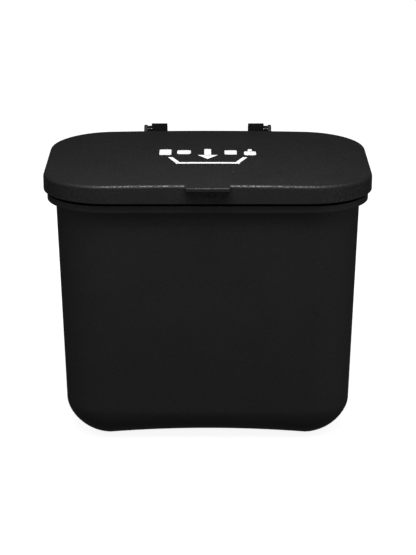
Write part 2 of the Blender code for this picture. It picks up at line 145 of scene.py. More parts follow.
# %% Picking by place
def pick(piece, test, what="VERT"):
    """In edit mode, select the vertices, edges or faces whose middle passes a test."""
    bpy.ops.mesh.select_mode(type=what)
    bpy.ops.mesh.select_all(action="DESELECT")
    mesh = bmesh.from_edit_mesh(piece.data)
    for part in {"VERT": mesh.verts, "EDGE": mesh.edges, "FACE": mesh.faces}[what]:
        corners = [part.co] if what == "VERT" else [vertex.co for vertex in part.verts]
        if test(sum(corners, Vector()) / len(corners)):
            part.select_set(True)
    mesh.select_flush_mode()
    bmesh.update_edit_mesh(piece.data)


def pick_by_number(piece, numbers):
    """In edit mode, select vertices by their numbers."""
    bpy.ops.mesh.select_mode(type="VERT")
    bpy.ops.mesh.select_all(action="DESELECT")
    mesh = bmesh.from_edit_mesh(piece.data)
    mesh.verts.ensure_lookup_table()
    for number in numbers:
        mesh.verts[number].select_set(True)
    mesh.select_flush_mode()
    bmesh.update_edit_mesh(piece.data)


def move(x=0.0, y=0.0, z=0.0):
    """Move what is selected."""
    bpy.ops.transform.translate(value=(x, y, z))


def scale(x=1.0, y=1.0, z=1.0, about=(0.0, 0.0, 0.0)):
    """Scale what is selected about a point."""
    bpy.ops.transform.resize(value=(x, y, z), center_override=about)


def extrude(x=0.0, y=0.0, z=0.0):
    """Extrude the selected faces by a step."""
    bpy.ops.mesh.extrude_region_move(TRANSFORM_OT_translate={"value": (x, y, z)})


def own_copy(piece, name):
    """A copy with its own mesh, opened in edit mode with everything selected."""
    copy = piece.copy()
    copy.data = piece.data.copy()
    copy.name = copy.data.name = name
    bpy.context.scene.collection.objects.link(copy)
    open_edit(copy)
    pick_all()
    return copy


def near(value, place, reach=1e-5):
    """True where two lengths agree."""
    return abs(value - place) < reach


print("helpers ready:", [f.__name__ for f in (new_piece, pick, move, scale, extrude)])

# %% [markdown]
# ## Hoops
#
# A moulded tub could be made from a stretched cube, but its corners are not circles: they
# reach further along the long side than along the short one. We use hoops instead, the way
# a cooper does. A plane gets its four corners bevelled into quarter ellipses, its face is
# thrown away, and the outline that is left is extruded again and again. Each new hoop has
# its quarters pulled in or out and is lifted to its height.


# %% The layout of one hoop
Hoop = namedtuple("Hoop", "inset height tuck keep lift", defaults=(0.0, 1.0, 0.0))


def corner_layout(hoop):
    """For the front and rear corners: their centres' X and Y, and their reach in X and Y."""
    layout = {}
    for row, sign in (("front", -1), ("rear", 1)):
        reach_x, reach_y = ((reach - hoop.inset) * hoop.keep for reach in CORNERS[row])
        half_x = HALF_WIDTH - hoop.inset - hoop.tuck
        half_y = HALF_DEPTH - hoop.inset - hoop.tuck
        layout[row] = (half_x - reach_x, MIDDLE_Y + sign * (half_y - reach_y), reach_x, reach_y)
    return layout


def first_hoop(name, hoop):
    """A plane with elliptic corners; its face is removed and its long edges are divided."""
    layout = corner_layout(hoop)
    piece = new_piece(name, bpy.ops.mesh.primitive_plane_add, size=2)
    pick_all()
    scale(layout["front"][0] + layout["front"][2], HALF_DEPTH - hoop.inset - hoop.tuck)
    move(y=MIDDLE_Y, z=hoop.height)
    for row, sign in (("front", -1), ("rear", 1)):
        reach_x, reach_y = layout[row][2:]
        pick_all()
        scale(x=reach_y / reach_x)
        pick(piece, lambda at: (at.y - MIDDLE_Y) * sign > HALF_DEPTH - hoop.inset - hoop.tuck - 1e-5)
        bpy.ops.mesh.bevel(
            offset=reach_y, segments=CORNER_STEPS, affect="VERTICES", profile=0.5, clamp_overlap=False
        )
        pick_all()
        scale(x=reach_x / reach_y)
    pick_all()
    bpy.ops.mesh.delete(type="ONLY_FACE")
    pick(piece, lambda at: near(at.x, 0.0), "EDGE")
    bpy.ops.mesh.subdivide(number_cuts=STRAIGHT_STEPS - 1)
    return piece


print("a hoop is described by", Hoop._fields)

# %% [markdown]
# To pull a quarter from one ellipse to another, it is scaled about the point that stays
# put. The straights between the quarters follow in the same way, scaled about the middle.


# %% Pulling a hoop to its next shape
def still_point(before, after, factor):
    """The place that stays put when a centre moves and its reach is scaled."""
    return (after - factor * before) / (1 - factor) if abs(1 - factor) > 1e-9 else 0.0


def pull(piece, ring, now, then):
    """Take a ring from one hoop's layout to another's."""
    pick_by_number(piece, ring)
    move(z=then.height - now.height)
    if now[0] == then[0] and now[2:4] == then[2:4]:
        return
    mesh = bmesh.from_edit_mesh(piece.data)
    mesh.verts.ensure_lookup_table()
    places = {number: mesh.verts[number].co.copy() for number in ring}
    old, new = corner_layout(now), corner_layout(then)
    for row, sign in (("front", -1), ("rear", 1)):
        (old_x, old_y, *old_reach), (new_x, new_y, *new_reach) = old[row], new[row]
        grow_x, grow_y = new_reach[0] / old_reach[0], new_reach[1] / old_reach[1]
        fixed_x, fixed_y = still_point(old_x, new_x, grow_x), still_point(old_y, new_y, grow_y)
        in_row = [number for number in ring if (places[number].y - MIDDLE_Y) * sign > 0]
        for side in (-1, 1):
            quarter = [n for n in in_row if places[n].x * side > old_x - 1e-5]
            pick_by_number(piece, quarter)
            scale(grow_x, grow_y, about=(side * fixed_x, fixed_y, 0.0))
        pick_by_number(piece, [n for n in in_row if abs(places[n].x) <= old_x - 1e-5])
        scale(new_x / old_x, grow_y, about=(0.0, fixed_y, 0.0))


def next_ring(piece, ring, now, then):
    """Extrude a ring and pull the new one to its shape; returns its vertex numbers."""
    pick_by_number(piece, ring)
    bpy.ops.mesh.extrude_edges_move()
    mesh = bmesh.from_edit_mesh(piece.data)
    fresh = [vertex.index for vertex in mesh.verts if vertex.select]
    pull(piece, fresh, now, then)
    return fresh


print("a centre goes from 0 to 2 while its reach halves; still point:", still_point(0.0, 2.0, 0.5))

# %% [markdown]
# A closed piece needs its ends shut. A cap is bridged in strips from the front run of the
# ring to its rear run, which lets a crowned or arched face bend cleanly from left to right.
# A band, such as the bag ring, has no caps: its last hoop is bridged to its first.
#
# A crown or an arch is added last, by raising or lowering columns of vertices that stand
# at the same distance from the middle.


# %% Closing a stack of hoops
def pick_runs(piece, ring):
    """Select a ring's front run and rear run, without the two side edges between them."""
    pick_by_number(piece, ring)
    bpy.ops.mesh.select_mode(type="EDGE")
    mesh = bmesh.from_edit_mesh(piece.data)
    for edge in mesh.edges:
        if edge.select and (edge.verts[0].co.y > MIDDLE_Y) != (edge.verts[1].co.y > MIDDLE_Y):
            edge.select_set(False)
    mesh.select_flush_mode()
    bmesh.update_edit_mesh(piece.data)


def lift_columns(piece, numbers, lift):
    """Raise vertices by lift(x), one column at a time."""
    mesh = bmesh.from_edit_mesh(piece.data)
    mesh.verts.ensure_lookup_table()
    columns = {}
    for number in numbers:
        columns.setdefault(round(abs(mesh.verts[number].co.x), 5), []).append(number)
    for x, column in columns.items():
        if lift(x):
            pick_by_number(piece, column)
            move(z=lift(x))


def stack_hoops(name, hoops, lift=None, joined=False):
    """Build a closed piece from hoops, each extruded from the one before."""
    piece = first_hoop(name, hoops[0])
    rings = [[vertex.index for vertex in bmesh.from_edit_mesh(piece.data).verts]]
    for now, then in zip(hoops, hoops[1:]):
        rings.append(next_ring(piece, rings[-1], now, then))
    if joined:
        pick_by_number(piece, rings[0] + rings[-1])
        bpy.ops.mesh.bridge_edge_loops()
    else:
        for ring in (rings[0], rings[-1]):
            pick_runs(piece, ring)
            bpy.ops.mesh.bridge_edge_loops()
    shares = sorted({hoop.lift for hoop in hoops if hoop.lift})
    for share in shares:
        numbers = [n for ring, hoop in zip(rings, hoops) if hoop.lift == share for n in ring]
        lift_columns(piece, numbers, lambda x: share * lift(x))
    pick_all()
    bpy.ops.mesh.normals_make_consistent(inside=False)
    leave_edit()
    print(f"{name}: {len(hoops)} hoops, {len(piece.data.polygons)} faces")
    return piece


# %% [markdown]
# Moulded plastic has no sharp edges. A section is drawn as a list of corners, each an inset
# and a height, and this helper rounds every corner off before the hoops are made.


# %% Rounding a section's corners
def soften(corners, radius, steps=3, closed=False):
    """Round the corners of a section; radius is one value, or one for each corner."""
    count = len(corners)
    radii = radius if isinstance(radius, (list, tuple)) else [radius] * count
    soft = []
    for place, corner in enumerate(corners):
        if not closed and place in (0, count - 1):
            soft.append(tuple(corner))
            continue
        middle = Vector(corner)
        to_last = Vector(corners[place - 1]) - middle
        to_next = Vector(corners[(place + 1) % count]) - middle
        reach = min(radii[place], 0.45 * to_last.length, 0.45 * to_next.length)
        start, end = middle + to_last.normalized() * reach, middle + to_next.normalized() * reach
        for step in range(steps + 1):
            t = step / steps
            soft.append(tuple((1 - t) ** 2 * start + 2 * t * (1 - t) * middle + t * t * end))
    return soft


print("one square corner becomes", len(soften([(0, 0), (1, 0), (1, 1)], 0.2)), "points")

# %% [markdown]
# ## Joining, bevelling and finishing
#
# Smaller features are made on their own and joined to a piece, or cut out of it, with a
# Boolean modifier that is applied at once. The Bevel modifier breaks edges that were left
# sharp. Last of all, weighted normals keep big flat walls flat in the light while the
# small rounded edges stay smooth.


# %% Modifiers applied at once
SMOOTH_ANGLE = math.radians(38)


def apply_modifier(piece, kind, **settings):
    """Add a modifier, set it up and apply it."""
    only(piece)
    modifier = piece.modifiers.new(kind.lower(), kind)
    for name, value in settings.items():
        setattr(modifier, name, value)
    bpy.ops.object.modifier_apply(modifier=modifier.name)


def combine(piece, tool, operation):
    """Join a tool to the piece or cut it away, then remove the tool."""
    apply_modifier(piece, "BOOLEAN", object=tool, operation=operation, solver="EXACT")
    bpy.data.objects.remove(tool)


def break_edges(piece, width, segments=2, angle=30):
    """Round every edge that is sharper than an angle."""
    apply_modifier(
        piece, "BEVEL", width=width, segments=segments, limit_method="ANGLE",
        angle_limit=math.radians(angle), harden_normals=False,
    )


def shut(piece):
    """Merge doubles, point the faces outwards and go back to object mode."""
    if bpy.context.mode != "EDIT_MESH":
        open_edit(piece)
    pick_all()
    bpy.ops.mesh.remove_doubles(threshold=1e-6)
    bpy.ops.mesh.normals_make_consistent(inside=False)
    leave_edit()
    return piece


def hand_over(piece, finish, body, slot, *nodes):
    """Smooth a piece, give it its finish, and let it ride in place of its CAD nodes."""
    only(piece)
    bpy.ops.object.shade_smooth_by_angle(angle=SMOOTH_ANGLE)
    apply_modifier(piece, "WEIGHTED_NORMAL", keep_sharp=True, weight=60)
    piece.data.materials.clear()
    piece.data.materials.append(finish)
    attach(piece, body)
    if nodes:
        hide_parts(*nodes)
    low, high = (Vector(f(v.co[i] for v in piece.data.vertices) for i in range(3)) for f in (min, max))
    print(piece.name, "spans", [round((b - a) * 1000, 1) for a, b in zip(low, high)], "mm")


# %% [markdown]
# Basic solids come up again and again, so each has a short helper: a block between two
# corners, and a rod along an axis whose radius changes from station to station. Both are
# left in object mode, ready to be shaped further.


# %% Blocks and rods
ROUND_STEPS = 40
PAST = 0.001  # how far a cutter runs past the piece it cuts
TURNS = {"X": (0.0, math.pi / 2, 0.0), "Y": (-math.pi / 2, 0.0, 0.0), "Z": (0.0, 0.0, 0.0)}


def block(name, low, high):
    """A block between two corners."""
    low, high = Vector(low), Vector(high)
    piece = new_piece(
        name, bpy.ops.mesh.primitive_cube_add,
        size=1, location=(low + high) / 2, scale=high - low,
    )
    leave_edit()
    return piece


def rod(name, axis, middle, stations, steps=ROUND_STEPS):
    """A round solid; stations are (place along the axis, radius), in rising order.

    A disc is set on the first station. It is extruded to each of the others and scaled
    there, which is how a turned part is made without a lathe.
    """
    way = "XYZ".index(axis)
    place = list(middle)
    place[way] = stations[0][0]
    piece = new_piece(
        name, bpy.ops.mesh.primitive_circle_add, vertices=steps, radius=stations[0][1],
        fill_type="NGON", location=place, rotation=TURNS[axis],
    )
    pick_all()
    for (start, before), (end, after) in zip(stations, stations[1:]):
        step = [0.0, 0.0, 0.0]
        step[way] = end - start
        extrude(*step)
        place[way] = end
        grow = [after / before] * 3
        grow[way] = 1.0
        scale(*grow, about=place)
    return shut(piece)


print("a rod has", ROUND_STEPS, "sides unless it is told otherwise")

# %% [markdown]
# ## Finishes
#
# A finish is a node tree. Writing one as sums is easier to read than a list of links, so a
# small class wraps a socket and turns +, - and * into Math nodes.


# %% Shader sums as Python expressions
class Wire:
    """A number that varies over a surface; arithmetic on it adds Math nodes."""

    def __init__(self, finish, socket):
        self.finish, self.socket = finish, socket

    def math(self, operation, first, second):
        """One Math node."""
        made = self.finish.node("ShaderNodeMath", {"operation": operation}, {0: first, 1: second})
        return made.wire()

    def __add__(self, other):
        return self.math("ADD", self, other)

    def __radd__(self, other):
        return self.math("ADD", other, self)

    def __sub__(self, other):
        return self.math("SUBTRACT", self, other)

    def __rsub__(self, other):
        return self.math("SUBTRACT", other, self)

    def __mul__(self, other):
        return self.math("MULTIPLY", self, other)

    def __rmul__(self, other):
        return self.math("MULTIPLY", other, self)

    def limited(self):
        """The same value kept between 0 and 1."""
        made = self.finish.node("ShaderNodeClamp", {}, {"Value": self})
        return made.wire()


class Made:
    """A node that has been added, and its outputs as wires."""

    def __init__(self, finish, node):
        self.finish, self.node = finish, node

    def wire(self, output=0):
        """One output, by number or name."""
        return Wire(self.finish, self.node.outputs[output])


print("a wire knows", ", ".join(name for name in vars(Wire) if "_" != name[0]))

# %% [markdown]
# A finish has a method for each thing that a surface may need: noise, cells, a colour
# ramp, a blend of two colours, the wear on edges, a bump. Each adds one or two nodes and
# gives back a wire. Sizes are in metres, so a grain of 0.9 mm is written 0.0009.


# %% A finish and its nodes
class Finish:
    """A material under construction."""

    def __init__(self, name):
        self.material = bpy.data.materials.new(name)
        self.material.use_nodes = True
        self.tree = self.material.node_tree
        self.shader = self.tree.nodes["Principled BSDF"]
        self.place = self.node("ShaderNodeTexCoord", {}, {}).wire("Object")

    def plug(self, socket, value):
        """Set a socket to a value, or link a wire to it."""
        if isinstance(value, Wire):
            self.tree.links.new(value.socket, socket)
        else:
            socket.default_value = value

    def node(self, kind, settings, sockets):
        """Add a node, apply its settings, then fill its sockets by number or name."""
        node = self.tree.nodes.new(kind)
        for name, value in settings.items():
            if name == "stops":
                for element, (at, grey) in zip(self.ramp_stops(node, len(value)), value):
                    element.position, element.color = at, (grey, grey, grey, 1)
            else:
                setattr(node, name, value)
        for name, value in sockets.items():
            self.plug(node.inputs[name], value)
        return Made(self, node)

    def ramp_stops(self, node, count):
        """A colour ramp's stops, as many as are wanted."""
        stops = node.color_ramp.elements
        while len(stops) < count:
            stops.new(0.5)
        return stops

    def noise(self, size, detail=2.0, roughness=0.5, place=None):
        """Cloudy noise whose blots are about size across, from 0 to 1."""
        sockets = {"Vector": place or self.place, "Scale": 1 / size, "Detail": detail, "Roughness": roughness}
        return self.node("ShaderNodeTexNoise", {}, sockets).wire("Fac")

    def cells(self, size):
        """The distance to the middle of a cell, for cells about size across."""
        sockets = {"Vector": self.place, "Scale": 1 / size}
        return self.node("ShaderNodeTexVoronoi", {"feature": "F1"}, sockets).wire("Distance")

    def ramp(self, value, *stops):
        """A value sent through a ramp of (place, grey) stops."""
        return self.node("ShaderNodeValToRGB", {"stops": stops}, {"Fac": value}).wire("Color")

    def blend(self, share, low, high):
        """A colour between two, by share."""
        sockets = {"Factor": share, 6: (*low, 1), 7: (*high, 1)}
        return self.node("ShaderNodeMix", {"data_type": "RGBA"}, sockets).wire(2)

    def edges(self, width):
        """1 on edges, falling to 0 within a width of them."""
        rounded = self.node("ShaderNodeBevel", {"samples": 4}, {"Radius": width}).wire("Normal")
        true = self.node("ShaderNodeNewGeometry", {}, {}).wire("Normal")
        agree = self.node("ShaderNodeVectorMath", {"operation": "DOT_PRODUCT"}, {0: rounded, 1: true})
        return ((1 - agree.wire("Value")) * 6).limited()

    def bump(self, height, depth):
        """A normal that stands for relief of a given depth."""
        sockets = {"Height": height, "Distance": depth, "Strength": 1.0}
        return self.node("ShaderNodeBump", {}, sockets).wire("Normal")

    def done(self, colour, roughness, normal, **constants):
        """Fill the shader's sockets and give back the material."""
        self.plug(self.shader.inputs["Base Color"], colour)
        self.plug(self.shader.inputs["Roughness"], roughness)
        self.plug(self.shader.inputs["Normal"], normal)
        for name, value in constants.items():
            self.shader.inputs[name.replace("_", " ")].default_value = value
        print("finish", self.material.name, "has", len(self.tree.nodes), "nodes")
        return self.material


# %% [markdown]
# ### Black moulded plastic
#
# The tub and the lid come out of a mould whose steel was etched to a fine grain. Close up
# it is a field of small soft pits, well under a millimetre across. From further off it
# shows as a faint mottle, because flat spots between the pits catch the light. Colour,
# gloss and relief all follow the same grain, so that they agree.


# %% The plastic finishes
def moulded_plastic(name, black, gloss, grain_depth, grain=0.0009, sparkle=0.3, **constants):
    """Black plastic with an etched grain; sparkle is how much the grain catches the light."""
    finish = Finish(name)
    pits = finish.cells(grain)
    mottle = finish.noise(grain * 1.8, detail=3)
    clouds = finish.noise(0.035, detail=4, roughness=0.6)
    wear = finish.edges(0.0007) * finish.noise(0.004, detail=3)
    specks = ((mottle - 0.5) * 4 + 0.5).limited()
    tone = (0.1 + clouds * 0.4 + (specks - 0.5) * sparkle + wear * 0.7).limited()
    colour = finish.blend(tone, [0.6 * c for c in black], [2.0 * c for c in black])
    shine = gloss - (specks - 0.5) * 0.3 * sparkle + (clouds - 0.5) * 0.10 + wear * 0.05
    relief = pits * 0.6 + mottle * 0.8
    return finish.done(colour, shine, finish.bump(relief, grain_depth), **constants)


lid_plastic = moulded_plastic("lid_black_grained", (0.0085, 0.0085, 0.0085), 0.50, 0.00022, 0.0013, 1.4)
tub_plastic = moulded_plastic("tub_black_grained", (0.0105, 0.0105, 0.0105), 0.55, 0.00009)
ring_plastic = moulded_plastic("ring_black_satin", (0.0100, 0.0100, 0.0100), 0.44, 0.00003)
# The hinge plastic's black is darker than the tub's and its reflection weaker: painted shade for the hinge
# blocks, which sit in the lid's shadow.
hinge_plastic = moulded_plastic(
    "hinge_black_satin_painted_shade", (0.0040, 0.0040, 0.0040), 0.45, 0.00003, Specular_IOR_Level=0.2
)


# %% [markdown]
# ### Rubber, steel, zinc and printing ink
#
# Rubber is duller than the plastic and picks up dust. The pins are drawn steel, so their
# scratches run along them: the noise is stretched with a Mapping node. Zinc plating is
# cloudy and a little yellow. The ink is matte white and thin, with the grain of the lid
# under it and a few places where it did not take.


# %% The other finishes
def soft_rubber(name):
    """Matte black rubber with a dusty bloom."""
    finish = Finish(name)
    bloom = finish.noise(0.006, detail=4)
    fine = finish.noise(0.0005, detail=2)
    tone = (bloom * 0.7 + fine * 0.3).limited()
    colour = finish.blend(tone, (0.008, 0.008, 0.008), (0.024, 0.0235, 0.023))
    return finish.done(colour, 0.72 + bloom * 0.2, finish.bump(fine, 0.00005))


def worked_metal(name, dark, light, gloss, stretch):
    """Metal with fine marks that run along one way."""
    finish = Finish(name)
    sockets = {"Vector": finish.place, "Scale": stretch}
    along = finish.node("ShaderNodeMapping", {}, sockets).wire("Vector")
    scratches = finish.noise(0.0006, detail=4, place=along)
    clouds = finish.noise(0.003, detail=3)
    colour = finish.blend((scratches * 0.5 + clouds * 0.5).limited(), dark, light)
    shine = gloss + scratches * 0.15 + clouds * 0.1
    return finish.done(colour, shine, finish.bump(scratches, 0.00002), Metallic=1.0)


def printing_ink(name):
    """Thin white ink that shows the grain under it."""
    finish = Finish(name)
    grain = finish.noise(0.0009, detail=3)
    missed = finish.ramp(finish.noise(0.0016, detail=4), (0.26, 1.0), (0.33, 0.0))
    cover = (0.15 * grain + missed * 0.8).limited()
    colour = finish.blend(cover, (0.93, 0.93, 0.92), (0.40, 0.40, 0.40))
    return finish.done(colour, 0.55 + grain * 0.15, finish.bump(grain, 0.00004))


black_rubber = soft_rubber("black_rubber_dusty")
pin_steel = worked_metal("pin_steel_drawn", (0.18, 0.18, 0.19), (0.42, 0.42, 0.43), 0.22, (0.1, 1, 1))
screw_zinc = worked_metal("screw_zinc_plated", (0.34, 0.33, 0.29), (0.62, 0.61, 0.57), 0.25, (1, 1, 1))
white_ink = printing_ink("picture_ink_white")

# %% [markdown]
# ## The tub
#
# The walls lean in towards the base so that the tub leaves its mould. Where the wall meets
# the base it turns through a large soft radius, and the plan corners tighten on the way
# down, so that each lower corner is close to a ball. The base is arched between its ends,
# which keeps it from rocking. One list of hoops goes up the outside, over the flange and
# down the inside, which gives the wall its thickness and leaves the tub open at the top.

# %% Tub hoops
DRAFT = 0.0259
FLANGE_TOP = 0.2413
WALL_AT_TOP = 0.0110
TUB_WALL = 0.0022
FLOOR_WALL = 0.0026
FOOT_RADIUS = 0.0362
FOOT_FULLNESS = 1.2
FOOT_KEEP = 0.10
FOOT_STEPS = 12
ARCH_RISE, ARCH_HALF = 0.0042, 0.0934
FLANGE_INSET, FLANGE_WALL = 0.0057, 0.0018


def wall_inset(height):
    """How far the outer wall stands inside the lid's outline."""
    return WALL_AT_TOP + DRAFT * (FLANGE_TOP - height)


def arch(x):
    """The arched base's height at x."""
    return ARCH_RISE * max(0.0, 1 - (x / ARCH_HALF) ** 2)


def foot_hoop(step, shell):
    """One hoop of the rounded foot; step 0 is the base, and shell is the wall's depth."""
    angle = math.pi / 2 * step / FOOT_STEPS
    radius = FOOT_RADIUS - shell
    tuck = radius * (1 - math.sin(angle) ** FOOT_FULLNESS)
    height = (FLOOR_WALL if shell else 0.0) + radius * (1 - math.cos(angle) ** FOOT_FULLNESS)
    keep = 1 - tuck / radius * (1 - FOOT_KEEP)
    return Hoop(wall_inset(height) + shell, height, tuck, keep, round(math.cos(angle), 6))


flange_bottom = FLANGE_TOP - FLANGE_WALL
foot_top = foot_hoop(FOOT_STEPS, 0.0)
inner_foot_top = foot_hoop(FOOT_STEPS, TUB_WALL)
rim_section = [
    (foot_top.inset, foot_top.height),
    (wall_inset(flange_bottom), flange_bottom),
    (FLANGE_INSET, flange_bottom),
    (FLANGE_INSET, FLANGE_TOP),
    (wall_inset(FLANGE_TOP) + TUB_WALL, FLANGE_TOP),
    (inner_foot_top.inset, inner_foot_top.height),
]
rim_hoops = [Hoop(*place) for place in soften(rim_section, [0, 0.0012, 0.0005, 0.0005, 0.0007, 0])]
tub_hoops = [foot_hoop(step, 0.0) for step in range(FOOT_STEPS)] + rim_hoops
tub_hoops += [foot_hoop(step, TUB_WALL) for step in reversed(range(FOOT_STEPS))]
tub = stack_hoops("tub", tub_hoops, lift=arch)

# %% [markdown]
# On the back wall stand four bosses for the strap screws, with a rib between each pair.
# They are made as a rod and a block, get a soft edge, and are joined to the wall. Each
# boss then has its hole cut.

# %% Bosses and ribs on the tub's back
strap_low, strap_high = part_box("strap_right")
screw_low, screw_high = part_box("strap_screw_upper_right")
STRAP_FRONT = strap_low.y
STRAP_MIDDLE = (screw_low.x + screw_high.x) / 2
SCREW_HEIGHTS = {
    level: sum(corner.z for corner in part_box(f"strap_screw_{level}_right")) / 2
    for level in ("upper", "lower")
}
LID_REAR = MIDDLE_Y + HALF_DEPTH
BOSS_RADIUS, BOSS_RIB_WALL = 0.0060, 0.0024
BOSS_RIB_BOTTOM, BOSS_RIB_TOP = 0.1040, 0.2290
SEAT_GAP, BOSS_EDGE, PILOT_EXTRA = 0.0003, 0.0005, 0.0011
SCREW_RADIUS = 0.0019
seat_y = STRAP_FRONT - SEAT_GAP


def wall_y(height):
    """The outer face of the tub's back wall at a height."""
    return LID_REAR - wall_inset(height)


for sign in SIDES.values():
    middle_x = sign * STRAP_MIDDLE
    inner_y = wall_y(BOSS_RIB_BOTTOM) - TUB_WALL / 2
    rib = block(
        "rib", (middle_x - BOSS_RIB_WALL / 2, inner_y, BOSS_RIB_BOTTOM),
        (middle_x + BOSS_RIB_WALL / 2, seat_y, BOSS_RIB_TOP),
    )
    open_edit(rib)
    pick(rib, lambda at: near(at.y, inner_y) and near(at.z, BOSS_RIB_TOP))
    move(y=DRAFT * (BOSS_RIB_TOP - BOSS_RIB_BOTTOM))
    leave_edit()
    break_edges(rib, 0.0004)
    combine(tub, rib, "UNION")
    for height in SCREW_HEIGHTS.values():
        start = wall_y(height) - TUB_WALL / 2
        at = (middle_x, 0.0, height)
        stations = [(start, BOSS_RADIUS + 0.0004), (wall_y(height) + 0.0006, BOSS_RADIUS + 0.0002)]
        stations += [(seat_y - BOSS_EDGE, BOSS_RADIUS), (seat_y, BOSS_RADIUS - BOSS_EDGE)]
        combine(tub, rod("boss", "Y", at, stations), "UNION")
        hole_end = screw_low.y - PILOT_EXTRA
        hole = [(hole_end, SCREW_RADIUS + SEAT_GAP), (strap_high.y, SCREW_RADIUS + SEAT_GAP)]
        combine(tub, rod("pilot", "Y", at, hole), "DIFFERENCE")
hand_over(shut(tub), tub_plastic, "bin", "tub_plastic", "bin_body")

# %% [markdown]
# ## The bag ring
#
# The band that shows under the lid's skirt is the outer lip of a loose ring. Inside it a
# collar stands up, over which the bag is folded, and a foot goes down into the tub. The
# section is one closed loop, so the last hoop is bridged to the first.

# %% Ring hoops
RING_INSET, RING_LIP_BOTTOM, RING_LIP_WALL = 0.0033, 0.2370, 0.0020
RING_TOP, RING_PLATE = 0.2436, 0.0020
COLLAR_INSET, COLLAR_WALL, COLLAR_TOP = 0.0135, 0.0026, 0.2545
COLLAR_FOOT, COLLAR_FOOT_INSET = 0.2330, 0.0144
collar_inner = COLLAR_INSET + COLLAR_WALL
lip_inner = RING_INSET + RING_LIP_WALL
ring_section = [
    (lip_inner, RING_LIP_BOTTOM),
    (RING_INSET, RING_LIP_BOTTOM),
    (RING_INSET, RING_TOP),
    (COLLAR_INSET, RING_TOP),
    (COLLAR_INSET, COLLAR_TOP),
    (collar_inner, COLLAR_TOP),
    (collar_inner, COLLAR_FOOT),
    (COLLAR_FOOT_INSET, COLLAR_FOOT),
    (COLLAR_FOOT_INSET, RING_TOP - RING_PLATE),
    (lip_inner, RING_TOP - RING_PLATE),
]
ring_radii = [0.0004, 0.0006, 0.0010, 0.0010, 0.0009, 0.0009, 0.0004, 0.0004, 0.0004, 0.0004]
ring_hoops = [Hoop(*place) for place in soften(ring_section, ring_radii, closed=True)]
bag_band = stack_hoops("bag_band", ring_hoops, joined=True)
hand_over(shut(bag_band), ring_plastic, "bin", "ring_plastic", "bag_ring")

# %% [markdown]
# ## The lid
#
# The lid is a shallow shell: a skirt around the outside, a locating rib inside the collar,
# and a top that is very slightly crowned from side to side. The crown matters more than
# its 2.6 mm suggests, because a dead flat top catches the light all at once and looks like
# card. Its top edge has a 3 mm radius, which draws the bright line along the front.

# %% Lid hoops
LID_TOP, LID_CROWN, LID_WALL = 0.2643, 0.0026, 0.0022
SKIRT_BOTTOM, EDGE_RADIUS, EDGE_STEPS = 0.2464, 0.0030, 6
RIB_INSET, RIB_WALL, RIB_BOTTOM = 0.0178, 0.0018, 0.2500
CROWN_REACH = 0.0045
under = LID_TOP - LID_WALL
rib_inner = RIB_INSET + RIB_WALL
lid_section = [
    (rib_inner + 0.002, under),
    (rib_inner, under),
    (rib_inner, RIB_BOTTOM),
    (RIB_INSET, RIB_BOTTOM),
    (RIB_INSET, under),
    (LID_WALL, under),
    (LID_WALL, SKIRT_BOTTOM),
    (0.0, SKIRT_BOTTOM),
    (0.0, LID_TOP - EDGE_RADIUS),
]
lid_radii = [0, 0.0006, 0.0005, 0.0005, 0.0006, 0.0015, 0.0005, 0.0006, 0]
lid_shape = soften(lid_section, lid_radii)
for step in range(1, EDGE_STEPS + 1):
    turn = math.pi / 2 * step / EDGE_STEPS
    lid_shape.append(
        (EDGE_RADIUS * (1 - math.cos(turn)), LID_TOP - EDGE_RADIUS * (1 - math.sin(turn)))
    )
lid_shape.append((EDGE_RADIUS + 0.0015, LID_TOP))
lid_hoops = [
    Hoop(inset, height, lift=1.0 if height > LID_TOP - CROWN_REACH else 0.0)
    for inset, height in lid_shape
]


def crown(x):
    """The crowned top's height at x, which falls towards the ends."""
    return -LID_CROWN * (x / HALF_WIDTH) ** 2


lid = stack_hoops("lid", lid_hoops, lift=crown)

# %% [markdown]
# The lift tab is a block with its two front corners well rounded and every other edge
# broken. It is joined to the lid flush with the top.

# %% Lift tab
TAB_WIDTH, TAB_THICKNESS, TAB_CORNER = 0.041, 0.0039, 0.0022
lid_front = MIDDLE_Y - HALF_DEPTH
tab_top = LID_TOP - 0.0001
tab_front = lid_front - TAB_REACH
tab = block(
    "tab", (-TAB_WIDTH / 2, tab_front, tab_top - TAB_THICKNESS),
    (TAB_WIDTH / 2, lid_front + EDGE_RADIUS, tab_top),
)
open_edit(tab)
pick(tab, lambda at: near(at.y, tab_front) and near(abs(at.x), TAB_WIDTH / 2), "EDGE")
bpy.ops.mesh.bevel(offset=TAB_CORNER, segments=6, profile=0.5)
leave_edit()
break_edges(tab, 0.0009, segments=3)
combine(lid, tab, "UNION")
print("tab joined; the lid has", len(lid.data.polygons), "faces")

# %% [markdown]
# Each hinge ear starts as a disc around the hinge line. Its front half is cut off with a
# bisect, the straight edge that this leaves is extruded twice towards the lid, and the
# flat shape gets its thickness. Edges are broken before the ear is joined and drilled.

# %% Hinge ears
EAR_RADIUS, EAR_THICKNESS, EAR_INNER_X = 0.0045, 0.0032, 0.0597
EAR_TOP_FLAT, EAR_FOOT, EAR_ROOT = 0.0034, 0.0090, 0.00055
PIN_RADIUS, HOLE_GAP = 0.00175, 0.0003
skirt_face = LID_REAR - LID_WALL / 2


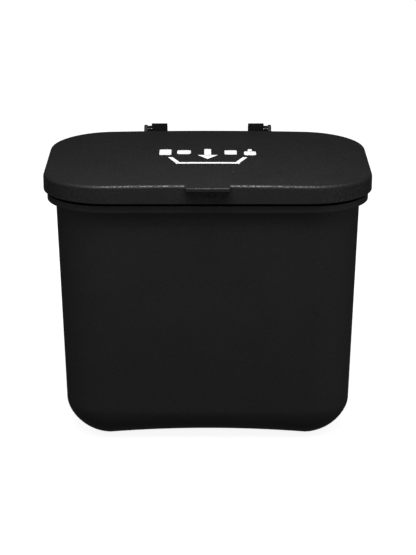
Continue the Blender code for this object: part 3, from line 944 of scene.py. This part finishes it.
def hinge_ear(sign):
    """One ear, with its eye still solid."""
    start_x = sign * EAR_INNER_X
    ear = new_piece(
        "ear", bpy.ops.mesh.primitive_circle_add, vertices=48, radius=EAR_RADIUS,
        fill_type="NGON", location=(start_x, AXIS_Y, AXIS_Z), rotation=TURNS["X"],
    )
    pick_all()
    bpy.ops.mesh.bisect(plane_co=(0, AXIS_Y, 0), plane_no=(0, 1, 0), clear_inner=True)
    pick(ear, lambda at: near(at.y, AXIS_Y), "EDGE")
    bpy.ops.mesh.extrude_edges_move(TRANSFORM_OT_translate={"value": (0, -EAR_TOP_FLAT, 0)})
    bpy.ops.mesh.extrude_edges_move(
        TRANSFORM_OT_translate={"value": (0, skirt_face - LID_WALL - AXIS_Y + EAR_TOP_FLAT, 0)}
    )
    root_y = skirt_face - LID_WALL
    pick(ear, lambda at: near(at.y, root_y) and at.z > AXIS_Z)
    move(z=-EAR_RADIUS - EAR_ROOT)
    pick(ear, lambda at: near(at.y, root_y) and at.z < AXIS_Z - 2 * EAR_ROOT)
    move(y=LID_WALL, z=EAR_RADIUS - EAR_FOOT)
    pick_all()
    extrude(x=sign * EAR_THICKNESS)
    shut(ear)
    break_edges(ear, 0.0005, segments=3, angle=40)
    return ear


for sign in SIDES.values():
    combine(lid, hinge_ear(sign), "UNION")
    reach = sorted((sign * (EAR_INNER_X - PAST), sign * (EAR_INNER_X + EAR_THICKNESS + PAST)))
    eye = [(x, PIN_RADIUS + HOLE_GAP) for x in reach]
    combine(lid, rod("eye", "X", (0.0, AXIS_Y, AXIS_Z), eye), "DIFFERENCE")
print("ears joined and drilled; the lid has", len(lid.data.polygons), "faces")

# %% [markdown]
# Under the lid, four short tubes hold the rubber bumpers. Each is a rod joined to the
# underside and then bored.

# %% Bumper sockets
bumper_low, bumper_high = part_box("lid_bumper_front_right")
BUMPER_RADIUS = (bumper_high.x - bumper_low.x) / 2
BUMPER_TOP = bumper_high.z
SOCKET_RADIUS, SOCKET_BOTTOM = 0.0042, 0.2570
bumper_places = {
    (row, side): sum(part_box(f"lid_bumper_{row}_{side}"), Vector()) / 2
    for row in ("front", "rear") for side in SIDES
}
for at in bumper_places.values():
    wall = [(SOCKET_BOTTOM, SOCKET_RADIUS - 0.0004), (SOCKET_BOTTOM + 0.0004, SOCKET_RADIUS)]
    wall.append((BUMPER_TOP + LID_WALL / 2, SOCKET_RADIUS))
    combine(lid, rod("socket", "Z", at, wall), "UNION")
    bore = [(SOCKET_BOTTOM - PAST, BUMPER_RADIUS + HOLE_GAP)]
    bore.append((BUMPER_TOP + HOLE_GAP, BUMPER_RADIUS + HOLE_GAP))
    combine(lid, rod("bore", "Z", at, bore), "DIFFERENCE")
hand_over(shut(lid), lid_plastic, "lid", "lid_plastic", "lid_shell")

# %% [markdown]
# ## The hooked straps
#
# Each strap is one moulding: the hinge block at the top, a hook that drops over a door or
# a panel, a stop for the open lid, and a flat bar down the tub's back. It is made from one
# block. Bisects cut its back face into bands, and the bands that should stand out are
# extruded: first the hook and the stop backwards, then the hook's lip down.

# %% Strap body
BRIDGE_TOP, BRIDGE = 0.2495, 0.0040
STOP_TOP, STOP_OUTER_X = 0.2640, 0.0634
HOOK_LIP, STOP_OVERLAP = 0.0040, 0.0040
STRAP_THICKNESS, STRAP_WIDTH = 0.0066, 0.0155
HOOK_END = 0.2105
PAD_POCKET = 0.0012
stop_front = AXIS_Y + 0.00495
strap_back = STRAP_FRONT + STRAP_THICKNESS
stop_back = strap_back + 0.0080
lip_front = strap_high.y - HOOK_LIP
door_pad_low, door_pad_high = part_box("door_pad_right")
inner_x = strap_low.x
outer_x = inner_x + STRAP_WIDTH


def face_at(piece, x=None, y=None, z=None, margin=1e-5):
    """Select faces whose middle lies in the given spans; a number is a place."""
    spans = [(s - margin, s + margin) if isinstance(s, float) else s for s in (x, y, z)]

    def inside(at):
        return all(span is None or span[0] < value < span[1] for span, value in zip(spans, at))

    pick(piece, inside, "FACE")


def slice_at(axis, *places):
    """Cut the whole piece across at some places along an axis."""
    for place in places:
        normal = [float(axis == name) for name in "XYZ"]
        pick_all()
        bpy.ops.mesh.bisect(plane_co=[place * n for n in normal], plane_no=normal)


strap = block("strap", (inner_x, STRAP_FRONT, strap_low.z), (outer_x, strap_back, strap_high.z))
open_edit(strap)
pocket_low, pocket_high = door_pad_low.z - SEAT_GAP, door_pad_high.z + SEAT_GAP
slice_at("Z", pocket_low, pocket_high, BRIDGE_TOP - BRIDGE, BRIDGE_TOP, STOP_TOP)
face_at(strap, y=strap_back, z=(BRIDGE_TOP - BRIDGE, STOP_TOP))
extrude(y=stop_back - strap_back)
face_at(strap, y=stop_back, z=(BRIDGE_TOP - BRIDGE, BRIDGE_TOP))
extrude(y=lip_front - stop_back)
extrude(y=HOOK_LIP)
face_at(strap, y=(lip_front, lip_front + HOOK_LIP), z=BRIDGE_TOP - BRIDGE)
extrude(z=HOOK_END - BRIDGE_TOP + BRIDGE)
face_at(strap, y=strap_back, z=(pocket_low, pocket_high))
extrude(y=-PAD_POCKET)
shut(strap)
stop_low = (outer_x - STOP_OVERLAP, stop_front, BRIDGE_TOP - BRIDGE)
stop = block("stop", stop_low, (STOP_OUTER_X, stop_back, STOP_TOP))
combine(strap, stop, "UNION")
break_edges(strap, 0.0006, segments=3)
print("strap body:", len(strap.data.polygons), "faces")

# %% [markdown]
# The strap is then drilled: a blind hole for the hinge pin and two countersunk holes for
# the screws. The left strap is the right one's mirror image. Scaling a mesh by -1 turns
# its faces inside out, so the copy has its normals made consistent again.

# %% Strap holes, and the mirrored pair
pin_low, pin_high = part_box("hinge_pin_right")
SCREW_HEAD_RADIUS, SCREW_HEAD_LENGTH = 0.0040, 0.0022
pin_hole = [(pin_low.x - HOLE_GAP, PIN_RADIUS + HOLE_GAP)]
pin_hole += [(outer_x + PAST, PIN_RADIUS + HOLE_GAP)]
combine(strap, rod("pin_hole", "X", (0.0, AXIS_Y, AXIS_Z), pin_hole), "DIFFERENCE")
for height in SCREW_HEIGHTS.values():
    cut = [
        (STRAP_FRONT - PAST, SCREW_RADIUS + HOLE_GAP),
        (strap_back - HOLE_GAP - SCREW_HEAD_LENGTH, SCREW_RADIUS + HOLE_GAP),
        (strap_back, SCREW_HEAD_RADIUS + HOLE_GAP),
        (strap_back + PAST, SCREW_HEAD_RADIUS + HOLE_GAP),
    ]
    combine(strap, rod("screw_hole", "Y", (STRAP_MIDDLE, 0.0, height), cut), "DIFFERENCE")
shut(strap)


def mirrored(piece, name):
    """A copy with its own mesh, mirrored to the other side."""
    copy = own_copy(piece, name)
    scale(x=-1.0)
    return shut(copy)


def hand_over_pair(piece, name, finish, body, slot, node):
    """Hand over a right-hand piece and its mirrored copy; {side} in node is filled in."""
    left = mirrored(piece, f"left_{name}")
    piece.name = piece.data.name = f"right_{name}"
    hand_over(piece, finish, body, slot, node.format(side="right"))
    hand_over(left, finish, body, slot, node.format(side="left"))


# The straps get the darker hinge black, which is painted shade.
hand_over_pair(strap, "strap", hinge_plastic, "bin", "hinge_plastic", "strap_{side}")

# %% [markdown]
# ## Pins and spacers
#
# A short steel pin is pressed into each block and carries the lid's ear. A plastic spacer
# sits on it between the block and the ear. Both are turned parts: rods with small chamfers.

# %% Pins and spacers
chamfer = 0.0004
pin_radius = (pin_high.z - pin_low.z) / 2
pin = rod("pin", "X", (0.0, AXIS_Y, AXIS_Z), [
    (pin_low.x, pin_radius - chamfer), (pin_low.x + chamfer, pin_radius),
    (pin_high.x - chamfer, pin_radius), (pin_high.x, pin_radius - chamfer),
])
break_edges(pin, 0.00012, angle=20)
hand_over_pair(pin, "pin", pin_steel, "bin", "steel_pin", "hinge_pin_{side}")

spacer_low, spacer_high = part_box("pin_spacer_right")
spacer_radius = (spacer_high.z - spacer_low.z) / 2
spacer = rod("spacer", "X", (0.0, AXIS_Y, AXIS_Z), [
    (spacer_low.x, spacer_radius), (spacer_high.x, spacer_radius),
])
bore = [(x, PIN_RADIUS + HOLE_GAP) for x in (spacer_low.x - PAST, spacer_high.x + PAST)]
combine(spacer, rod("spacer_bore", "X", (0.0, AXIS_Y, AXIS_Z), bore), "DIFFERENCE")
break_edges(spacer, 0.00025)
# The spacers get the same darker black, painted shade for the lid's shadow on them.
hand_over_pair(spacer, "spacer", hinge_plastic, "bin", "hinge_plastic", "pin_spacer_{side}")

# %% [markdown]
# ## Strap screws
#
# Each screw has a countersunk head with a cross recess and a threaded shank. The thread is
# buried in its boss, so it is made as a row of ridges and not as a true helix. The cross
# is cut with two thin blocks that taper to a point.

# %% Screws
head_y, tip_y = screw_high.y, screw_low.y
head_radius = (screw_high.x - screw_low.x) / 2
THREAD_CORE, THREAD_PITCH, HEAD_RIM = 0.00145, 0.0011, 0.00015
BLADE_LENGTH, BLADE_WIDTH, BLADE_DEPTH = 0.0040, 0.00084, 0.0017
shank = [(tip_y, SCREW_RADIUS / 2), (tip_y + 0.0016, THREAD_CORE)]
thread_start, thread_end = tip_y + 0.0018, head_y - SCREW_HEAD_LENGTH - 0.0016
for ridge in range(int((thread_end - thread_start) / THREAD_PITCH)):
    at = thread_start + ridge * THREAD_PITCH
    shank += [(at + share * THREAD_PITCH, radius) for share, radius in (
        (0.0, THREAD_CORE), (0.4, SCREW_RADIUS), (0.5, SCREW_RADIUS), (0.9, THREAD_CORE))]
shank += [(thread_end, THREAD_CORE), (thread_end + 0.0004, SCREW_RADIUS)]
shank += [(head_y - SCREW_HEAD_LENGTH, SCREW_RADIUS), (head_y - HEAD_RIM, head_radius)]
shank.append((head_y, head_radius - 0.0001))


def cross_blade(quarter_turn):
    """One blade of the cross: a thin block, pinched at its inner end."""
    half = (BLADE_LENGTH / 2, BLADE_WIDTH / 2)
    half = half if quarter_turn else half[::-1]
    blade = block(
        "blade", (STRAP_MIDDLE - half[0], head_y - BLADE_DEPTH, SCREW_HEIGHTS["upper"] - half[1]),
        (STRAP_MIDDLE + half[0], head_y + 0.0004, SCREW_HEIGHTS["upper"] + half[1]),
    )
    open_edit(blade)
    pick(blade, lambda at: at.y < head_y - 0.001)
    scale(0.35, 1.0, 0.35, about=(STRAP_MIDDLE, 0.0, SCREW_HEIGHTS["upper"]))
    leave_edit()
    return blade


screw = rod("screw", "Y", (STRAP_MIDDLE, 0.0, SCREW_HEIGHTS["upper"]), shank, steps=32)
for quarter_turn in (False, True):
    combine(screw, cross_blade(quarter_turn), "DIFFERENCE")
shut(screw)
lower_screw = own_copy(screw, "lower_screw")
move(z=SCREW_HEIGHTS["lower"] - SCREW_HEIGHTS["upper"])
leave_edit()
for level, made in (("upper", screw), ("lower", lower_screw)):
    node = f"strap_screw_{level}_{{side}}"
    hand_over_pair(made, f"{level}_screw", screw_zinc, "bin", "zinc_screw", node)

# %% [markdown]
# ## Rubber pads and bumpers
#
# The pads keep the hooks from marking a door. Grip ridges run across them. A block is
# sliced into bands, and every second band on the outer face is pushed in a little.


# %% Pads
def ribbed_pad(name, node, face_sign, bands=13, groove=0.00035):
    """A pad with grooves across the face that touches the door."""
    low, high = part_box(node)
    pad = block(name, low, high)
    open_edit(pad)
    rise = (high.z - low.z) / bands
    slice_at("Z", *[low.z + rise * band for band in range(1, bands)])
    face_y = high.y if face_sign > 0 else low.y
    pick(pad, lambda at: near(at.y, face_y) and int((at.z - low.z) / rise) % 2 == 1, "FACE")
    extrude(y=-face_sign * groove)
    shut(pad)
    break_edges(pad, 0.00015)
    return pad


door_pad = ribbed_pad("door_pad", "door_pad_right", 1)
hand_over_pair(door_pad, "door_pad", black_rubber, "bin", "black_rubber", "door_pad_{side}")
hook_pad = ribbed_pad("hook_pad", "hook_pad_right", -1, bands=11)
hand_over_pair(hook_pad, "hook_pad", black_rubber, "bin", "black_rubber", "hook_pad_{side}")

# %% [markdown]
# A bumper is a rubber peg with a soft domed foot. It is turned once and copied to the four
# sockets.

# %% Bumpers
foot_z = bumper_low.z
stations = [(foot_z, BUMPER_RADIUS * 0.45), (foot_z + 0.0002, BUMPER_RADIUS * 0.75)]
stations += [(foot_z + 0.0006, BUMPER_RADIUS * 0.95), (foot_z + 0.0011, BUMPER_RADIUS)]
stations += [(BUMPER_TOP - 0.0003, BUMPER_RADIUS), (BUMPER_TOP, BUMPER_RADIUS - 0.0003)]
bumper = rod("bumper", "Z", bumper_places["front", "right"], stations)
for (row, side), at in bumper_places.items():
    peg = own_copy(bumper, f"{row}_{side}_bumper")
    move(*(at - bumper_places["front", "right"]))
    leave_edit()
    hand_over(peg, black_rubber, "lid", "black_rubber", f"lid_bumper_{row}_{side}")
bpy.data.objects.remove(bumper)

# %% [markdown]
# ## The picture on the lid
#
# A white picture is printed on the lid: a few bits of litter over a wide open bin, with an
# arrow that shows where they go. Flat shapes are laid above the lid, cut into narrow
# columns, dropped onto its crowned top with a Shrinkwrap modifier and given the thickness
# of a coat of ink with Solidify.

# %% Flat shapes
PRINT_Z = LID_TOP + 0.010
INK = 0.00005


def flat_block(low_x, high_x, low_y, high_y):
    """A flat rectangle above the lid, about the lid's middle."""
    middle = ((low_x + high_x) / 2, MIDDLE_Y + (low_y + high_y) / 2, PRINT_Z)
    piece = new_piece("shape", bpy.ops.mesh.primitive_plane_add, size=1, location=middle)
    pick_all()
    scale(high_x - low_x, high_y - low_y, about=middle)
    leave_edit()
    return piece


def round_corners(piece, radius):
    """Round the corners of a flat shape."""
    open_edit(piece)
    pick_all()
    bpy.ops.mesh.bevel(offset=radius, segments=5, affect="VERTICES", profile=0.5)
    leave_edit()
    return piece


def taper(piece, test, **change):
    """Move the corners of a flat shape that pass a test."""
    open_edit(piece)
    pick(piece, test)
    move(**change)
    leave_edit()
    return piece


shapes = []
# the open bin: a floor and two leaning sides
shapes.append(round_corners(flat_block(-0.0300, 0.0300, -0.0245, -0.0200), 0.0012))
for sign in SIDES.values():
    span = sorted((sign * 0.0256, sign * 0.0300))
    side = flat_block(*span, -0.0212, -0.0030)
    taper(side, lambda at: at.y > MIDDLE_Y - 0.010, x=sign * 0.0074)
    shapes.append(round_corners(side, 0.0012))
# the arrow: a stem and a head
shapes.append(round_corners(flat_block(-0.0032, 0.0032, 0.0020, 0.0245), 0.0010))
head = flat_block(-0.0095, 0.0095, -0.0090, 0.0040)
taper(head, lambda at: at.y < MIDDLE_Y, x=0.0)
open_edit(head)
pick(head, lambda at: at.y < MIDDLE_Y)
scale(x=0.02)
leave_edit()
shapes.append(head)
# litter on both sides: a can and a scrap on the left, a box and a bottle on the right
shapes.append(round_corners(flat_block(-0.0457, -0.0345, 0.0050, 0.0235), 0.0018))
shapes.append(round_corners(flat_block(-0.0290, -0.0160, 0.0075, 0.0205), 0.0030))
shapes.append(round_corners(flat_block(0.0160, 0.0275, 0.0060, 0.0200), 0.0012))
shapes.append(round_corners(flat_block(0.0345, 0.0457, 0.0040, 0.0170), 0.0022))
shapes.append(round_corners(flat_block(0.0382, 0.0420, 0.0150, 0.0245), 0.0008))
print(len(shapes), "flat shapes")

# %% [markdown]
# The shapes are joined into one piece and sliced on a grid. Shrinkwrap moves only
# vertices, so a long edge without any would run straight through the crown.

# %% Laying the ink
only(shapes[0])
for shape in shapes:
    shape.select_set(True)
bpy.ops.object.join()
picture = bpy.context.object
picture.name = picture.data.name = "lid_picture"
open_edit(picture)
slice_at("X", *[step * 0.005 for step in range(-9, 10)])
slice_at("Y", *[MIDDLE_Y + step * 0.006 for step in range(-4, 5)])
leave_edit()
apply_modifier(
    picture, "SHRINKWRAP", target=lid, wrap_method="PROJECT", use_project_z=True,
    use_negative_direction=True, use_positive_direction=False, offset=INK / 2,
)
apply_modifier(picture, "SOLIDIFY", thickness=INK, offset=1.0)
hand_over(shut(picture), white_ink, "lid", "print_white")

# %% [markdown]
# ## Floor, light and camera
#
# The bin stands on a plain pale floor. Black plastic shows almost nothing of its own
# colour, so what we see on it is mostly the lights. The room glows softly from several
# sides, brightest from above, and two panels near the bin make the lid's front the
# brightest part. The camera itself sees a plain white room.

# %% Floor and surroundings
floor = new_piece("floor", bpy.ops.mesh.primitive_plane_add, size=30)
leave_edit()
pale = Finish("floor_pale")
speckle = pale.noise(0.002, detail=2)
floor.data.materials.append(pale.done(
    pale.blend(speckle, (0.88, 0.88, 0.88), (0.92, 0.92, 0.92)), 0.9,
    pale.bump(speckle, 0.00002), Emission_Color=(1, 1, 1, 1), Emission_Strength=0.9,
))
floor.visible_glossy = False
floor.visible_diffuse = False
floor.visible_shadow = False
print("floor laid; it neither shades nor lights the bin")

# %% [markdown]
# The world's shader gives each direction its own brightness. The dot product of where a
# ray looks and where a glow comes from is 1 straight at the glow and 0 at a right angle
# to it. Raised to a power it falls faster, which makes the glow narrower. All the glows
# are added up. The Light Path node keeps them from the camera, which sees plain white.

# %% Light from all round
room = bpy.data.worlds.new("room")
room.use_nodes = True
bpy.context.scene.world = room
nodes, links = room.node_tree.nodes, room.node_tree.links
nodes.clear()


def add_node(kind, *values, **settings):
    """Add a node to the room; a value may be a number, a vector or another node's output."""
    made = nodes.new(kind)
    for name, value in settings.items():
        setattr(made, name, value)
    for socket, value in zip(made.inputs, values):
        if isinstance(value, bpy.types.NodeSocket):
            links.new(value, socket)
        else:
            socket.default_value = value
    return made


WHITE = (1, 1, 1, 1)
# where a glow comes from, how narrow it is, how strong it is
GLOWS = [
    ((0, -0.5, 0.87), 6, 0.36),
    ((0.7, 0, 0.7), 6, 0.26),
    ((-0.7, 0, 0.7), 6, 0.20),
    ((0, -0.64, -0.77), 6, 0.18),
    ((0.68, -0.68, -0.3), 8, 0.28),
    ((-0.68, -0.68, -0.3), 8, 0.22),
    ((0, 0.92, -0.4), 8, 0.22),
    ((0.94, 0, -0.34), 6, 0.20),
    ((-0.94, 0, -0.34), 6, 0.13),
]
looking = nodes.new("ShaderNodeTexCoord").outputs["Generated"]
total = 0.0
for way, narrow, strong in GLOWS:
    way = Vector(way).normalized()
    facing = add_node("ShaderNodeVectorMath", looking, way, operation="DOT_PRODUCT").outputs["Value"]
    ahead = add_node("ShaderNodeMath", facing, 0.0, operation="MAXIMUM").outputs[0]
    lobe = add_node("ShaderNodeMath", ahead, narrow, operation="POWER").outputs[0]
    share = add_node("ShaderNodeMath", lobe, strong, operation="MULTIPLY").outputs[0]
    total = add_node("ShaderNodeMath", total, share, operation="ADD").outputs[0]
dim = add_node("ShaderNodeBackground", total)
bright = add_node("ShaderNodeBackground", WHITE)
ray = nodes.new("ShaderNodeLightPath").outputs["Is Camera Ray"]
choose = add_node("ShaderNodeMixShader", ray, dim.outputs[0], bright.outputs[0])
add_node("ShaderNodeOutputWorld", choose.outputs[0])
bpy.context.scene.view_settings.view_transform = "Standard"
print(len(GLOWS), "glows in the room")

# %% [markdown]
# Two area lights stand close in front of the lid. A near light falls off quickly over the
# lid's depth, so the front of the lid comes out brighter than its back.


# %% Soft panels
def panel(name, at, size, power, aim):
    """A light panel that faces a point."""
    data = bpy.data.lights.new(name, "AREA")
    data.shape, data.energy = "RECTANGLE", power
    data.size, data.size_y = size
    made = bpy.data.objects.new(name, data)
    bpy.context.scene.collection.objects.link(made)
    made.location = at
    made.rotation_euler = (Vector(aim) - Vector(at)).to_track_quat("-Z", "Y").to_euler()
    return made


# name, place, size, power, the point it faces
PANELS = [
    ("over", (0.0, -0.22, 0.62), (0.35, 0.2), 2.2, (0.0, -0.1, 0.26)),
    ("front", (0.0, -0.45, 0.7), (0.5, 0.3), 1.0, (0.0, -0.1, 0.26)),
]
for settings in PANELS:
    panel(*settings)
print(len(PANELS), "panels")

# %% [markdown]
# The camera looks down at 20 degrees from well back, through a long lens, so the bin's
# upright edges stay almost parallel.

# %% Camera
CAMERA_PITCH = math.radians(20)
CAMERA_DISTANCE = 1.7134
CAMERA_AIM_Z = 0.14273
LENS, SIDE_SHIFT = 115.135, 0.00054
camera = bpy.data.objects.new("camera", bpy.data.cameras.new("camera"))
bpy.context.scene.collection.objects.link(camera)
camera.data.lens = LENS
camera.data.shift_x = SIDE_SHIFT
camera.location = (
    0.0,
    MIDDLE_Y - CAMERA_DISTANCE * math.cos(CAMERA_PITCH),
    CAMERA_AIM_Z + CAMERA_DISTANCE * math.sin(CAMERA_PITCH),
)
camera.rotation_euler = (math.pi / 2 - CAMERA_PITCH, 0.0, 0.0)
bpy.context.scene.camera = camera
print("camera at", [round(value, 3) for value in camera.location])
